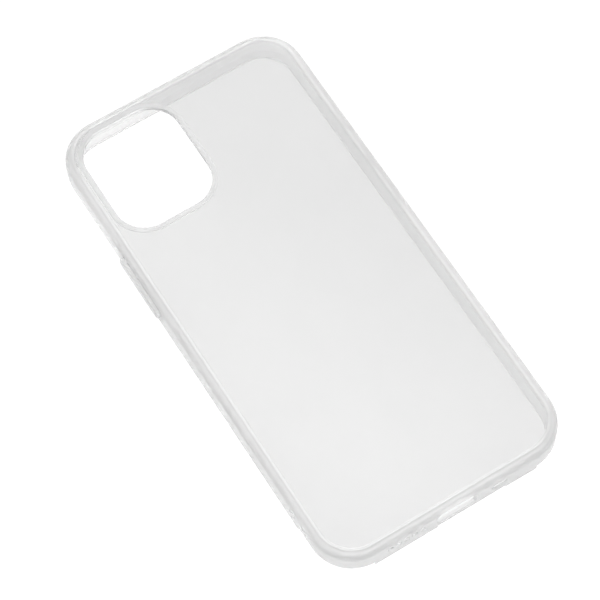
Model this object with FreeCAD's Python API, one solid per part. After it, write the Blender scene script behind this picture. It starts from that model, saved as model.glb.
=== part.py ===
import FreeCAD, Part
import os
from FreeCAD import Vector

# A clear phone case, lying with its open front down on the rim and its back up.
# Origin: centre of the rim plane. X is the width, +Y runs to the camera end, +Z points out of the back.

os.makedirs("parts", exist_ok=True)

# ---- driving dimensions, in mm ----
PHONE_W, PHONE_L, PHONE_T = 71.5, 146.7, 7.4      # the phone the case is made for
PHONE_CORNER_R = 10.9
PHONE_GAP = 0.10                                  # play round the phone, each side

WALL_T = 1.10
PANEL_T = 1.10
LIP_T = 1.30                                      # front lip, above the screen
LIP_OVERLAP = 1.90                                # how far the lip reaches over the phone's front

BACK_EDGE_R = 3.00
RIM_EDGE_R = 2.20
LIP_EDGE_R = 0.50
POCKET_EDGE_R = 1.00

POCKET_W = PHONE_W + 2 * PHONE_GAP
POCKET_L = PHONE_L + 2 * PHONE_GAP
POCKET_R = PHONE_CORNER_R + PHONE_GAP
POCKET_TOP = LIP_T + PHONE_T + PHONE_GAP
CASE_W = POCKET_W + 2 * WALL_T
CASE_L = POCKET_L + 2 * WALL_T
CORNER_R = POCKET_R + WALL_T
CASE_H = POCKET_TOP + PANEL_T
WALL_MID_Z = LIP_T + PHONE_T / 2                  # height of the phone's keys, port and sound holes

# the seam between the stiff panel and the soft frame
SEAM_INSET = 2.00                                 # from the case's outer face
LEDGE_REACH = 0.90                                # the frame's ledge runs this far under the panel's edge
LEDGE_T = 0.50

# where the rim is squared off instead of rounded: the power key's wall, and the bottom wall
SQUARE_RIM_R = 0.30
SQUARE_RIM_LOW_Y, SQUARE_RIM_HIGH_Y = -55.5, 37.0
SQUARE_RIM_HALF_X = 25.0

# camera cut-out and its raised ring
CAMERA_W, CAMERA_L, CAMERA_R = 28.9, 33.9, 9.0
CAMERA_X, CAMERA_Y = -17.85, 53.00
RING_COLLAR_T = 0.80
RING_BEAD_W = 1.50
RING_BEAD_H = 0.45
RING_BEAD_R = 0.35

# key covers
KEY_H = 3.60
POWER_KEY_PROUD, POWER_KEY_EDGE_R = 1.05, 0.60
VOLUME_KEY_PROUD, VOLUME_KEY_EDGE_R = 0.45, 1.10
KEY_GAP = 0.20                                    # running gap round the pad and its flange
KEY_FLANGE_T = 0.30
KEY_FLANGE_REACH = 0.80
KEY_FLANGE_REST_GAP = 0.10
KEY_SEAT_DEPTH = 0.75
KEY_RELIEF_DEPTH = 0.35                           # the wall is thinner behind the keys and the switch slot
KEY_RELIEF_END_R = 0.30
POWER_RELIEF_YS = (12.2, 36.8)
VOLUME_RELIEF_YS = (8.0, 49.5)
POWER_KEY_Y, POWER_KEY_L = 24.50, 20.50
VOLUME_KEY_L = 12.80
VOLUME_UP_Y, VOLUME_DOWN_Y = 31.80, 16.90

# openings through the walls
SWITCH_SLOT_Y, SWITCH_SLOT_L, SWITCH_SLOT_H, SWITCH_SLOT_R = 47.20, 10.00, 5.00, 1.50
PORT_L, PORT_H, PORT_R = 11.80, 5.20, 1.60
PORT_DROP = 0.20                                  # the port slot sits this much nearer the rim than the keys
PLUG_RELIEF_DEPTH = 0.35                          # the rim steps back here, under the port and the microphone
SPEAKER_HOLE_R, SPEAKER_HOLES, SPEAKER_PITCH, SPEAKER_MID_X = 0.80, 5, 2.50, -15.50
MIC_SLOT_X, MIC_SLOT_L, MIC_SLOT_H, MIC_SLOT_R = 13.20, 4.60, 1.80, 0.85
LANYARD_HOLE_R = 1.20
LANYARD_HOLE_YS = (SQUARE_RIM_LOW_Y + 2.70, SQUARE_RIM_LOW_Y - 2.90)   # one each side of the step in the rim
MOUTH_CHAMFER = 0.25                              # at the outer edges of the holes and slots

PAST = 3.0                                        # how far a cutting tool runs past the face it starts from
PICK_ROOM = 0.5                                   # room round an opening when its edges are picked
SAME = 1e-4                                       # two coordinates nearer than this are the same


def rounded_outline(width, length, radius):
    """Closed outline in the XY plane, centred on the origin: four straight sides and four quarter arcs."""
    hw, hl = width / 2, length / 2
    diagonal = radius * (1 - 0.5 ** 0.5)
    corners = []
    for sx, sy in ((1, 1), (-1, 1), (-1, -1), (1, -1)):
        along_x = Vector(sx * (hw - radius), sy * hl, 0)
        along_y = Vector(sx * hw, sy * (hl - radius), 0)
        middle = Vector(sx * (hw - diagonal), sy * (hl - diagonal), 0)
        corners.append((along_y, middle, along_x) if sx * sy > 0 else (along_x, middle, along_y))
    edges = []
    for index, (start, middle, end) in enumerate(corners):
        edges.append(Part.Arc(start, middle, end).toShape())
        next_start = corners[(index + 1) % 4][0]
        if end.distanceToPoint(next_start) > SAME:
            edges.append(Part.LineSegment(end, next_start).toShape())
    return Part.Wire(edges)


def plate(width, length, radius, low_z, high_z):
    """Flat plate of rounded plan, from low_z to high_z."""
    solid = Part.Face(rounded_outline(width, length, radius)).extrude(Vector(0, 0, high_z - low_z))
    solid.translate(Vector(0, 0, low_z))
    return solid


def inset_plate(inset, low_z, high_z):
    """Plate that keeps the case's outline, pulled in by inset all round."""
    return plate(CASE_W - 2 * inset, CASE_L - 2 * inset, CORNER_R - inset, low_z, high_z)


def flare(width, length, radius, low_z):
    """Mouth that opens at 45 degrees from low_z upwards, from the same outline as plate gives."""
    narrow = rounded_outline(width, length, radius)
    wide = rounded_outline(width + 2 * PAST, length + 2 * PAST, radius + PAST)
    narrow.translate(Vector(0, 0, low_z))
    wide.translate(Vector(0, 0, low_z + PAST))
    return Part.makeLoft([narrow, wide], True, True)


def slot_along_x(length, height, radius, y, z, low_x, high_x, mouth_x=None):
    """Bar of rounded section that runs along X: length along Y, height along Z. It may open from mouth_x on."""
    bar = plate(height, length, radius, low_x, high_x)
    if mouth_x is not None:
        bar = bar.fuse(flare(height, length, radius, mouth_x))
    bar.rotate(Vector(0, 0, 0), Vector(0, 1, 0), 90)
    bar.translate(Vector(0, y, z))
    return bar


def slot_along_y(length, height, radius, x, z, wall_y):
    """Bar of rounded section through the bottom wall, whose outer face is at wall_y, with a flared mouth."""
    bar = plate(length, height, radius, -WALL_T - PAST, PAST)
    bar = bar.fuse(flare(length, height, radius, -MOUTH_CHAMFER))
    bar.rotate(Vector(0, 0, 0), Vector(1, 0, 0), 90)
    bar.translate(Vector(x, wall_y, z))
    return bar


def edges_in_plane(shape, axis, value, inside=None):
    """Edges that lie in the plane axis = value, and if inside is given, within that bounding box."""
    found = []
    for edge in shape.Edges:
        box = edge.BoundBox
        low, high = (box.XMin, box.YMin, box.ZMin)[axis], (box.XMax, box.YMax, box.ZMax)[axis]
        if abs(low - value) < SAME and abs(high - value) < SAME:
            if inside is None or inside.isInside(box):
                found.append(edge)
    return found


def opening_box(x, y, z, width, length):
    """Bounding box of a flat opening's outline, with a little room, used to pick its edges."""
    hw, hl = width / 2 + PICK_ROOM, length / 2 + PICK_ROOM
    return FreeCAD.BoundBox(x - hw, y - hl, z - PICK_ROOM, x + hw, y + hl, z + PICK_ROOM)


def mirrored(shape):
    """The same shape on the other long wall."""
    return shape.mirror(Vector(0, 0, 0), Vector(1, 0, 0))


def squared_rim(low_x, high_x, low_y, high_y, outer_axis, outer):
    """Bar that fills the rim's rounding along part of a wall; its outer edges are only just rounded."""
    bar = Part.makeBox(high_x - low_x, high_y - low_y, RIM_EDGE_R, Vector(low_x, low_y, 0))
    lower = [e for e in edges_in_plane(bar, outer_axis, outer) if e.BoundBox.ZMax < SAME]
    return bar.makeFillet(SQUARE_RIM_R, lower)


def key_seat(side, y, length):
    """Space in the wall for one key cover: a slot through it, and a shallow seat inside for the flange."""
    wall_in = POCKET_W / 2
    through = slot_along_x(length + 2 * KEY_GAP, KEY_H + 2 * KEY_GAP, KEY_H / 2 + KEY_GAP, y, WALL_MID_Z,
                           wall_in - PAST, wall_in + WALL_T + PAST)
    reach = 2 * (KEY_FLANGE_REACH + KEY_GAP)
    seat = slot_along_x(length + reach, KEY_H + reach, (KEY_H + reach) / 2, y, WALL_MID_Z,
                        wall_in - PAST, wall_in + KEY_SEAT_DEPTH)
    space = through.fuse(seat)
    return space if side > 0 else mirrored(space)


def key_relief(side, low_y, high_y):
    """Shallow recess in the wall's inner face that thins it behind the keys, up to the pocket's ceiling."""
    wall_in = POCKET_W / 2
    block = Part.makeBox(PAST + KEY_RELIEF_DEPTH, high_y - low_y, POCKET_TOP - LIP_T,
                         Vector(wall_in - PAST, low_y, LIP_T))
    ends = [e for e in edges_in_plane(block, 0, wall_in + KEY_RELIEF_DEPTH)
            if e.BoundBox.YMax - e.BoundBox.YMin < SAME]
    block = block.makeFillet(KEY_RELIEF_END_R, ends)
    return block if side > 0 else mirrored(block)


def key_cover(side, y, length, proud, edge_r):
    """One key cover: a proud pad with rounded edges on a thin flange that keeps it in the wall."""
    flange_out = POCKET_W / 2 + KEY_SEAT_DEPTH - KEY_FLANGE_REST_GAP
    face_x = CASE_W / 2 + proud
    pad = slot_along_x(length, KEY_H, KEY_H / 2, y, WALL_MID_Z, flange_out - KEY_FLANGE_T, face_x)
    pad = pad.makeFillet(edge_r, edges_in_plane(pad, 0, face_x))
    flange = slot_along_x(length + 2 * KEY_FLANGE_REACH, KEY_H + 2 * KEY_FLANGE_REACH,
                          KEY_H / 2 + KEY_FLANGE_REACH, y, WALL_MID_Z, flange_out - KEY_FLANGE_T, flange_out)
    cover = pad.fuse(flange).removeSplitter()
    return cover if side > 0 else mirrored(cover)


def panel_space():
    """The space that the stiff panel takes, past the back face: its edge steps in over the frame's ledge."""
    upper = inset_plate(SEAM_INSET, POCKET_TOP + LEDGE_T, CASE_H + PAST)
    lower = inset_plate(SEAM_INSET + LEDGE_REACH, POCKET_TOP, POCKET_TOP + LEDGE_T)
    return upper.fuse(lower).removeSplitter()


def envelope():
    """The whole case as one filled block: its outside only."""
    body = inset_plate(0, 0, CASE_H)
    body = body.makeFillet(BACK_EDGE_R, edges_in_plane(body, 2, CASE_H))
    return body.makeFillet(RIM_EDGE_R, edges_in_plane(body, 2, 0))


def bumper_frame():
    """Soft clear frame: walls, front lip and the ledge that the panel's edge sits on."""
    low_x, low_y = -CASE_W / 2, -CASE_L / 2
    side_rim = squared_rim(low_x, low_x + RIM_EDGE_R, SQUARE_RIM_LOW_Y, SQUARE_RIM_HIGH_Y, 0, low_x)
    bottom_rim = squared_rim(-SQUARE_RIM_HALF_X, SQUARE_RIM_HALF_X, low_y, low_y + RIM_EDGE_R, 1, low_y)
    body = envelope().fuse([side_rim, bottom_rim]).removeSplitter()

    # bottom wall: port slot, microphone slot, speaker holes, and the rim stepped back for the plug
    port_z = WALL_MID_Z - PORT_DROP
    port = slot_along_y(PORT_L, PORT_H, PORT_R, 0, port_z, low_y)
    mic = slot_along_y(MIC_SLOT_L, MIC_SLOT_H, MIC_SLOT_R, MIC_SLOT_X, WALL_MID_Z, low_y)
    relief_end_x = MIC_SLOT_X + MIC_SLOT_L / 2
    relief = Part.makeBox(PORT_L / 2 + relief_end_x, PAST + PLUG_RELIEF_DEPTH, port_z - PORT_H / 2 + PAST,
                          Vector(-PORT_L / 2, low_y - PAST, -PAST))
    holes = []
    for index in range(SPEAKER_HOLES):
        x = SPEAKER_MID_X + (index - (SPEAKER_HOLES - 1) / 2) * SPEAKER_PITCH
        holes.append(Part.makeCylinder(SPEAKER_HOLE_R, WALL_T + 2 * PAST,
                                       Vector(x, low_y - PAST, WALL_MID_Z), Vector(0, 1, 0)))
        holes.append(Part.makeCone(SPEAKER_HOLE_R, SPEAKER_HOLE_R + PAST, PAST,
                                   Vector(x, low_y + MOUTH_CHAMFER, WALL_MID_Z), Vector(0, -1, 0)))

    # side walls: switch slot, and two lanyard holes either side of the squared rim's end
    switch = slot_along_x(SWITCH_SLOT_L, SWITCH_SLOT_H, SWITCH_SLOT_R, SWITCH_SLOT_Y, WALL_MID_Z,
                          POCKET_W / 2 - PAST, CASE_W / 2 + PAST, CASE_W / 2 - MOUTH_CHAMFER)
    lanyard = []
    for y in LANYARD_HOLE_YS:
        lanyard.append(Part.makeCylinder(LANYARD_HOLE_R, WALL_T + 2 * PAST,
                                         Vector(-POCKET_W / 2 + PAST, y, WALL_MID_Z), Vector(-1, 0, 0)))
        lanyard.append(Part.makeCone(LANYARD_HOLE_R, LANYARD_HOLE_R + PAST, PAST,
                                     Vector(low_x + MOUTH_CHAMFER, y, WALL_MID_Z), Vector(-1, 0, 0)))
    body = body.cut([port, mic, relief, switch] + holes + lanyard)

    # hollow it out: the phone's pocket, the front aperture, the panel's seat and the keys' seats
    pocket = plate(POCKET_W, POCKET_L, POCKET_R, LIP_T, POCKET_TOP)
    pocket = pocket.makeFillet(POCKET_EDGE_R, edges_in_plane(pocket, 2, POCKET_TOP))
    lip_inset = WALL_T + PHONE_GAP + LIP_OVERLAP
    aperture = inset_plate(lip_inset, -PAST, LIP_T)
    keys = [key_relief(-1, *POWER_RELIEF_YS), key_relief(1, *VOLUME_RELIEF_YS),
            key_seat(-1, POWER_KEY_Y, POWER_KEY_L),
            key_seat(1, VOLUME_UP_Y, VOLUME_KEY_L),
            key_seat(1, VOLUME_DOWN_Y, VOLUME_KEY_L)]
    body = body.cut([pocket, aperture, panel_space()] + keys)
    lip_box = opening_box(0, 0, 0, CASE_W - 2 * lip_inset, CASE_L - 2 * lip_inset)
    return body.makeFillet(LIP_EDGE_R, edges_in_plane(body, 2, 0, lip_box))


def camera_plate(offset, low_z, high_z):
    """Plate of the camera cut-out's outline, grown by offset all round."""
    solid = plate(CAMERA_W + 2 * offset, CAMERA_L + 2 * offset, CAMERA_R + offset, low_z, high_z)
    solid.translate(Vector(CAMERA_X, CAMERA_Y, 0))
    return solid


def camera_ring_space():
    """The ring without its opening: a collar through the panel under a wider bead."""
    collar = camera_plate(RING_COLLAR_T, POCKET_TOP, CASE_H)
    bead = camera_plate(RING_BEAD_W, CASE_H, CASE_H + RING_BEAD_H)
    return collar.fuse(bead).removeSplitter()


def camera_ring():
    """Soft clear bead that lines the camera cut-out and stands proud of the back."""
    top = CASE_H + RING_BEAD_H
    ring = camera_ring_space()
    ring = ring.makeFillet(RING_BEAD_R, edges_in_plane(ring, 2, top))
    ring = ring.cut(camera_plate(0, POCKET_TOP - PAST, top + PAST))
    inner_box = opening_box(CAMERA_X, CAMERA_Y, top, CAMERA_W, CAMERA_L)
    return ring.makeFillet(RING_BEAD_R, edges_in_plane(ring, 2, top, inner_box))


def back_panel():
    """Stiff clear plate with a lap joint to the frame and a stepped camera cut-out for the ring."""
    return envelope().common(panel_space()).cut(camera_ring_space())


NODES = {
    "bumper_frame": bumper_frame(),
    "back_panel": back_panel(),
    "camera_ring": camera_ring(),
    "power_button": key_cover(-1, POWER_KEY_Y, POWER_KEY_L, POWER_KEY_PROUD, POWER_KEY_EDGE_R),
    "volume_up_button": key_cover(1, VOLUME_UP_Y, VOLUME_KEY_L, VOLUME_KEY_PROUD, VOLUME_KEY_EDGE_R),
    "volume_down_button": key_cover(1, VOLUME_DOWN_Y, VOLUME_KEY_L, VOLUME_KEY_PROUD, VOLUME_KEY_EDGE_R),
}

for name, shape in NODES.items():
    solid = shape.Solids[0] if len(shape.Solids) == 1 else shape
    solid.exportStep("parts/" + name + ".step")
    box = solid.BoundBox
    print(name, "solids", len(shape.Solids), "valid", solid.isValid(), "volume", round(solid.Volume, 1),
          "x", round(box.XMin, 2), round(box.XMax, 2), "y", round(box.YMin, 2), round(box.YMax, 2),
          "z", round(box.ZMin, 2), round(box.ZMax, 2))
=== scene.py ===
import bpy
import math
from mathutils import Matrix, Vector


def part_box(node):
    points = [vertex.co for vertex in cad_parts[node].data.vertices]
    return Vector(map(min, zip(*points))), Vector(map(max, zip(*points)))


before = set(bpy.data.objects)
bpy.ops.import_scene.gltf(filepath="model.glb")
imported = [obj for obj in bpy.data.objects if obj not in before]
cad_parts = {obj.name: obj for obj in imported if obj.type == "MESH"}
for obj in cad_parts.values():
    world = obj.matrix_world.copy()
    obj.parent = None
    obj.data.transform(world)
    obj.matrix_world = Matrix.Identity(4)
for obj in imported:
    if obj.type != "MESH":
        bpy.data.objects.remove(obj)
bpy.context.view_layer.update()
scene = bpy.context.scene

# ---------------------------------------------------------------------------------------------
# The view: from above, off the case's lower left, through a long lens that keeps its long
# sides nearly parallel. The camera leans a little, so the case lies across the frame.
# ---------------------------------------------------------------------------------------------
MM = 0.001
AZIMUTH = math.radians(-29.172)
ELEVATION = math.radians(64.398)
LEAN = math.radians(-2.940)
LOOKS_AT = Vector((-2.717, -1.614, 5.0)) * MM
DISTANCE = 722.18 * MM
FOCAL_LENGTH = 160.966
SENSOR_W = 36.0
NEAREST, FARTHEST = 0.01, 20.0

turn = (Matrix.Rotation(AZIMUTH, 4, "Z")
        @ Matrix.Rotation(math.pi / 2 - ELEVATION, 4, "X")
        @ Matrix.Rotation(LEAN, 4, "Z"))
stands_at = LOOKS_AT + turn.to_3x3() @ Vector((0, 0, DISTANCE))
lens = bpy.data.cameras.new("camera")
lens.lens = FOCAL_LENGTH
lens.sensor_width = SENSOR_W
lens.clip_start, lens.clip_end = NEAREST, FARTHEST
camera = bpy.data.objects.new("camera", lens)
camera.matrix_world = Matrix.Translation(stands_at) @ turn
scene.collection.objects.link(camera)
scene.camera = camera
scene.view_settings.view_transform = "Standard"

# ---------------------------------------------------------------------------------------------
# The bumper frame: the soft clear rim and walls in one moulding, which grips the phone and ends
# in the front lip. It is a flexible urethane, a little cloudy, moulded round the stiff back
# panel and fused to it along the panel's stepped edge, so no air gap shows there.
# ---------------------------------------------------------------------------------------------
CASE_CORNER = 12.1 * MM
HAIR = 0.02 * MM
SOFT_IOR = 1.45
SOFT_HAZE = 0.10
SOFT_MILK = 0.35
SOFT_CLEAREST = (0.85, 0.85, 0.85)
SOFT_CLOUDED = (0.83, 0.83, 0.83)
SOFT_POLISH = 0.13
SOFT_FLOW = 0.08
CORE_CLEAR = (0.99, 0.99, 0.99)
CORE_REACH = 1.05 * MM
BOND_CLOUDED = (0.67, 0.67, 0.67)
BOND_REACH = 0.75 * MM
MILK_WHITE = (0.97, 0.97, 0.97)
MILK_LEAST, MILK_DRIFT = 0.95, 0.1
DRIFT_SCALE, DRIFT_DETAIL, DRIFT_SWIRL = 42.0, 3.0, 0.8
DRIFT_LOW, DRIFT_HIGH = 0.35, 0.65
GRAIN_SCALE, GRAIN_DETAIL = 1900.0, 2.0
GRAIN_ROUGH = 0.03
PEEL_STRENGTH = 0.02
PEEL_DEPTH = 0.02 * MM

frame_low, frame_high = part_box("bumper_frame")
panel_low, panel_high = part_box("back_panel")
case_w, case_l = frame_high.x - frame_low.x, frame_high.y - frame_low.y
ceiling, back = panel_low.z, panel_high.z
seam_inset = (case_w - (panel_high.x - panel_low.x)) / 2


class Shade:
    """A node tree's socket. Sums written with it, or on it, add their Math nodes to the tree."""

    def __init__(self, tree, socket=None):
        self.tree, self.socket = tree, socket

    def node(self, kind, settings=None, output=0, **inputs):
        """Adds a node, its settings first, then its inputs by name or, as in i0, by number."""
        made = self.tree.nodes.new(kind)
        for name, value in (settings or {}).items():
            setattr(made, name, value)
        for name, value in inputs.items():
            place = int(name[1:]) if name[1:].isdigit() else name.replace("_", " ")
            if isinstance(value, Shade):
                self.tree.links.new(value.socket, made.inputs[place])
            else:
                made.inputs[place].default_value = value
        return Shade(self.tree, made.outputs[output])

    def blend(self, share, ground, over):
        """Mixes two colours, each of them three numbers or a socket."""
        ground, over = (colour if isinstance(colour, Shade) else (*colour, 1)
                        for colour in (ground, over))
        return self.node("ShaderNodeMix", {"data_type": "RGBA"}, 2, i0=share, i6=ground, i7=over)

    def math(self, operation, *values):
        inputs = {"i%d" % place: value for place, value in enumerate(values)}
        return self.node("ShaderNodeMath", {"operation": operation}, **inputs)

    def vector(self, operation, *values):
        inputs = {"i%d" % place: value for place, value in enumerate(values)}
        result = "Value" if operation in ("LENGTH", "DOT_PRODUCT") else "Vector"
        return self.node("ShaderNodeVectorMath", {"operation": operation}, result, **inputs)

    def ends_in(self, kind):
        """Joins the finished surface to the tree's output, a node of the kind given."""
        self.tree.links.new(self.socket, self.tree.nodes.new(kind).inputs["Surface"])

    def __add__(self, other):
        return self.math("ADD", self, other)

    def __sub__(self, other):
        return self.math("SUBTRACT", self, other)

    def __rsub__(self, other):
        return self.math("SUBTRACT", other, self)

    def __mul__(self, other):
        return self.math("MULTIPLY", self, other)

    def __gt__(self, level):
        return self.math("GREATER_THAN", self, level)

    def __lt__(self, level):
        return self.math("LESS_THAN", self, level)

    __radd__, __rmul__ = __add__, __mul__


def empty_tree(owner):
    """Clears a material's or a world's nodes, and gives the Shade that its own start from."""
    owner.use_nodes = True
    owner.node_tree.nodes.clear()
    return Shade(owner.node_tree)


def beyond_outline(place, centre, width, length, radius):
    """How far outside an upright rounded outline a point lies: negative inside it."""
    straight = (width / 2 - radius, length / 2 - radius, 0)
    flat = place.vector("MULTIPLY", place, (1, 1, 0))
    past = flat.vector("ABSOLUTE", flat.vector("SUBTRACT", flat, centre))
    past = past.vector("MAXIMUM", past.vector("SUBTRACT", past, straight), (0, 0, 0))
    return past.vector("LENGTH", past) - radius


def height_of(place):
    return place.node("ShaderNodeSeparateXYZ", output="Z", Vector=place)


def clear_plastic(name, ior, haze, milk, clearest, clouded, polish, flow, fused=None, zones=()):
    """
    A clear moulding, with a little milk in it that lets light through evenly. Where the melt has
    flowed it is a shade cloudier and less polished, and its skin has a fine orange peel. A zone
    has a tint of its own. Where it is fused to its neighbour there is no surface at all.
    """
    material = bpy.data.materials.new(name)
    shade = empty_tree(material)
    place = shade.node("ShaderNodeTexCoord", output="Object")
    drift = shade.node("ShaderNodeTexNoise", Vector=place, Scale=DRIFT_SCALE,
                       Detail=DRIFT_DETAIL, Distortion=DRIFT_SWIRL)
    grain = shade.node("ShaderNodeTexNoise", Vector=place, Scale=GRAIN_SCALE, Detail=GRAIN_DETAIL)
    melt = shade.node("ShaderNodeMapRange", Value=drift, From_Min=DRIFT_LOW, From_Max=DRIFT_HIGH)
    tint = shade.blend(melt, clearest, clouded)
    for zone, colour in zones:
        tint = shade.blend(zone(place), tint, colour)
    peel = shade.node("ShaderNodeBump", Strength=PEEL_STRENGTH, Distance=PEEL_DEPTH,
                      Height=grain + drift)
    surface = shade.node("ShaderNodeBsdfPrincipled", Base_Color=tint, Normal=peel, IOR=ior,
                         Roughness=melt * flow + grain * GRAIN_ROUGH + polish,
                         Transmission_Weight=1 - haze)
    milky = shade.node("ShaderNodeBsdfTranslucent", Color=(*MILK_WHITE, 1))
    surface = shade.node("ShaderNodeMixShader", i0=melt * (MILK_DRIFT * milk) + MILK_LEAST * milk,
                         i1=surface, i2=milky)
    if fused:
        nothing = shade.node("ShaderNodeBsdfTransparent")
        surface = shade.node("ShaderNodeMixShader", i0=fused(place), i1=surface, i2=nothing)
    surface.ends_in("ShaderNodeOutputMaterial")
    return material


def finish_in(material, *nodes):
    for node in nodes:
        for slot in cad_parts[node].material_slots:
            slot.material = material


def inside_case(place):
    return beyond_outline(place, (0, 0, 0), case_w, case_l, CASE_CORNER)


def frame_fused(place):
    """The stepped face that the panel's edge is moulded into."""
    inset, height = inside_case(place), height_of(place)
    return (inset < HAIR - seam_inset) * (height > ceiling + HAIR) * (height < back - HAIR)


def core_side(place):
    """The faces that the mould's polished core made: the inside of the walls and the lip."""
    return (inside_case(place) < -CORE_REACH) * (height_of(place) < ceiling - HAIR)


def bond_line(place):
    """The cloudy witness line outside the seam, where the frame feathers out over the panel."""
    towards_seam = place.node("ShaderNodeMapRange", Value=inside_case(place),
                              From_Min=BOND_REACH - seam_inset, From_Max=-seam_inset)
    return towards_seam * (height_of(place) > ceiling - HAIR)


finish_in(clear_plastic("soft_clear", SOFT_IOR, SOFT_HAZE, SOFT_MILK, SOFT_CLEAREST, SOFT_CLOUDED,
                        SOFT_POLISH, SOFT_FLOW, frame_fused,
                        ((core_side, CORE_CLEAR), (bond_line, BOND_CLOUDED))), "bumper_frame")

# ---------------------------------------------------------------------------------------------
# The back panel: a flat stiff plate of clear acrylic, a little greyer than the frame. It is
# dropped into the mould first, so its stepped edge ends up locked into the soft frame.
# ---------------------------------------------------------------------------------------------
HARD_IOR = 1.49
HARD_HAZE = 0.06
HARD_MILK = 0.10
HARD_CLEAREST = (0.800, 0.800, 0.800)
HARD_CLOUDED = (0.794, 0.794, 0.794)
HARD_POLISH = 0.08
HARD_FLOW = 0.03
RING_CORNER = 10.5 * MM

ring_low, ring_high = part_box("camera_ring")
ring_w, ring_l = ring_high.x - ring_low.x, ring_high.y - ring_low.y
ring_centre = ((ring_low.x + ring_high.x) / 2, (ring_low.y + ring_high.y) / 2, 0)


def beyond_ring(place):
    return beyond_outline(place, ring_centre, ring_w, ring_l, RING_CORNER)


def panel_fused(place):
    """The panel's edge all round, and the part of its back that lies under the bead."""
    height = height_of(place)
    edge = (height > ceiling + HAIR) * (height < back - HAIR)
    return place.math("MAXIMUM", edge, (beyond_ring(place) < 0) * (height > back - HAIR))


finish_in(clear_plastic("hard_clear", HARD_IOR, HARD_HAZE, HARD_MILK, HARD_CLEAREST, HARD_CLOUDED,
                        HARD_POLISH, HARD_FLOW, panel_fused), "back_panel")

# ---------------------------------------------------------------------------------------------
# The camera ring: a collar that lines the square cut-out and turns out over the back in a low
# bead, so the lenses stand off a table. It is the frame's soft plastic, fused to the panel.
# ---------------------------------------------------------------------------------------------
BEAD_W = 1.5 * MM
COLLAR_T = 0.8 * MM
RING_HAZE = 0.15
RING_MILK = 0.25
RING_CLEAREST = (0.86, 0.86, 0.86)
RING_CLOUDED = (0.84, 0.84, 0.84)


def ring_fused(place):
    """The collar's outer wall and the bead's underside, which sit on the panel."""
    height = height_of(place)
    return ((beyond_ring(place) > COLLAR_T - BEAD_W - HAIR)
            * (height > ceiling + HAIR) * (height < back + HAIR))


finish_in(clear_plastic("ring_clear", SOFT_IOR, RING_HAZE, RING_MILK, RING_CLEAREST, RING_CLOUDED,
                        SOFT_POLISH, SOFT_FLOW, ring_fused), "camera_ring")

# ---------------------------------------------------------------------------------------------
# The three key covers: gloss pads over the phone's power and volume keys, each on a flange
# behind the wall. They are the frame's plastic, moulded clearer and with a finer polish.
# ---------------------------------------------------------------------------------------------
KEY_IOR = 1.30
KEY_HAZE = 0.05
KEY_MILK = 0.50
KEY_CLEAREST = (0.99, 0.99, 0.99)
KEY_CLOUDED = (0.97, 0.97, 0.97)
KEY_POLISH = 0.10

finish_in(clear_plastic("key_clear", KEY_IOR, KEY_HAZE, KEY_MILK, KEY_CLEAREST, KEY_CLOUDED,
                        KEY_POLISH, SOFT_FLOW),
          "power_button", "volume_up_button", "volume_down_button")

# ---------------------------------------------------------------------------------------------
# The light table: a wide sheet of white acrylic, lit from below, that the case lies on with
# its open side down. Its glow takes away the shadows and shows through the whole case.
# ---------------------------------------------------------------------------------------------
TABLE_HALF = 1.5
TABLE_GAP = 0.03 * MM
TABLE_WHITE = (0.03, 0.03, 0.03)
TABLE_MATT = 0.7
GLOW_FAR = (1.00, 1.00, 1.00)
GLOW_NEAR_LAMP = (1.12, 1.12, 1.12)
LAMP_SIDE = (-0.86, -0.50, 0.0)
GLOW_REACH = 42 * MM

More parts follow.
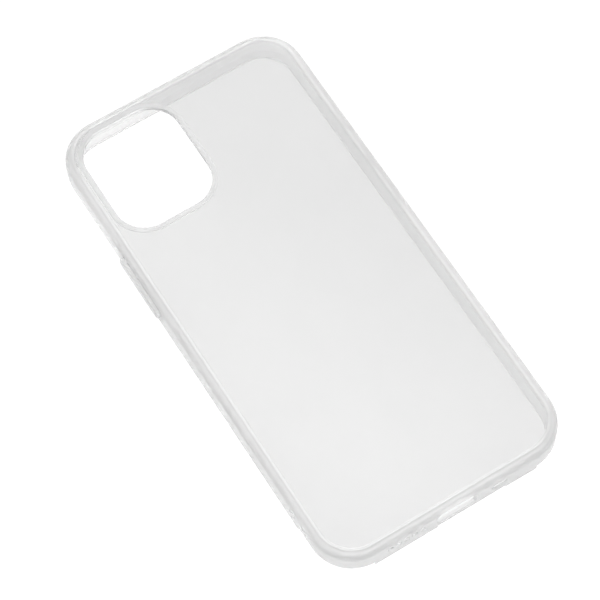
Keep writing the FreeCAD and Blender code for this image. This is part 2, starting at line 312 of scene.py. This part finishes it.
corners = [(x * TABLE_HALF, y * TABLE_HALF, -TABLE_GAP)
           for x, y in ((-1, -1), (1, -1), (1, 1), (-1, 1))]
sheet = bpy.data.meshes.new("light_table")
sheet.from_pydata(corners, [], [(0, 1, 2, 3)])
light_table = bpy.data.objects.new("light_table", sheet)
scene.collection.objects.link(light_table)
opal = bpy.data.materials.new("opal_acrylic")
shade = empty_tree(opal)
towards_lamp = shade.vector("DOT_PRODUCT", shade.node("ShaderNodeTexCoord", output="Object"),
                            LAMP_SIDE)
near_lamp = shade.node("ShaderNodeMapRange", {"interpolation_type": "SMOOTHSTEP"},
                       Value=towards_lamp, From_Min=-GLOW_REACH, From_Max=GLOW_REACH)
acrylic = shade.node("ShaderNodeBsdfPrincipled", Base_Color=(*TABLE_WHITE, 1),
                     Roughness=TABLE_MATT, Emission_Strength=1.0,
                     Emission_Color=shade.blend(near_lamp, GLOW_FAR, GLOW_NEAR_LAMP))
acrylic.ends_in("ShaderNodeOutputMaterial")
sheet.materials.append(opal)

# ---------------------------------------------------------------------------------------------
# The studio: a white tent all round, brighter on the far side, and one softbox whose long
# reflection runs down the rounded edges of the case.
# ---------------------------------------------------------------------------------------------
TENT_NEAR = (0.71, 0.71, 0.71)
TENT_FAR = (1.70, 1.70, 1.70)
FAR_SIDE = (0.72, 0.69, 0.0)
SOFTBOX_SIDE = Vector((0.74, 0.38, 0.56)).normalized()
SOFTBOX_DISTANCE = 0.9
SOFTBOX_W, SOFTBOX_L = 0.10, 0.60
SOFTBOX_RADIANCE = 4.0

tent = bpy.data.worlds.new("tent")
shade = empty_tree(tent)
towards_far = shade.vector("DOT_PRODUCT", shade.node("ShaderNodeTexCoord", output="Generated"),
                           FAR_SIDE)
far = shade.node("ShaderNodeMapRange", {"interpolation_type": "SMOOTHSTEP"},
                 Value=towards_far, From_Min=0.0, From_Max=1.0)
cloth = shade.node("ShaderNodeBackground", Color=shade.blend(far, TENT_NEAR, TENT_FAR),
                   Strength=1.0)
cloth.ends_in("ShaderNodeOutputWorld")
scene.world = tent

light = bpy.data.lights.new("softbox_right", "AREA")
light.shape = "RECTANGLE"
light.size, light.size_y = SOFTBOX_W, SOFTBOX_L
light.energy = SOFTBOX_RADIANCE * math.pi * SOFTBOX_W * SOFTBOX_L
softbox = bpy.data.objects.new("softbox_right", light)
softbox.matrix_world = (Matrix.Translation(SOFTBOX_SIDE * SOFTBOX_DISTANCE)
                        @ SOFTBOX_SIDE.to_track_quat("Z", "Y").to_matrix().to_4x4())
scene.collection.objects.link(softbox)
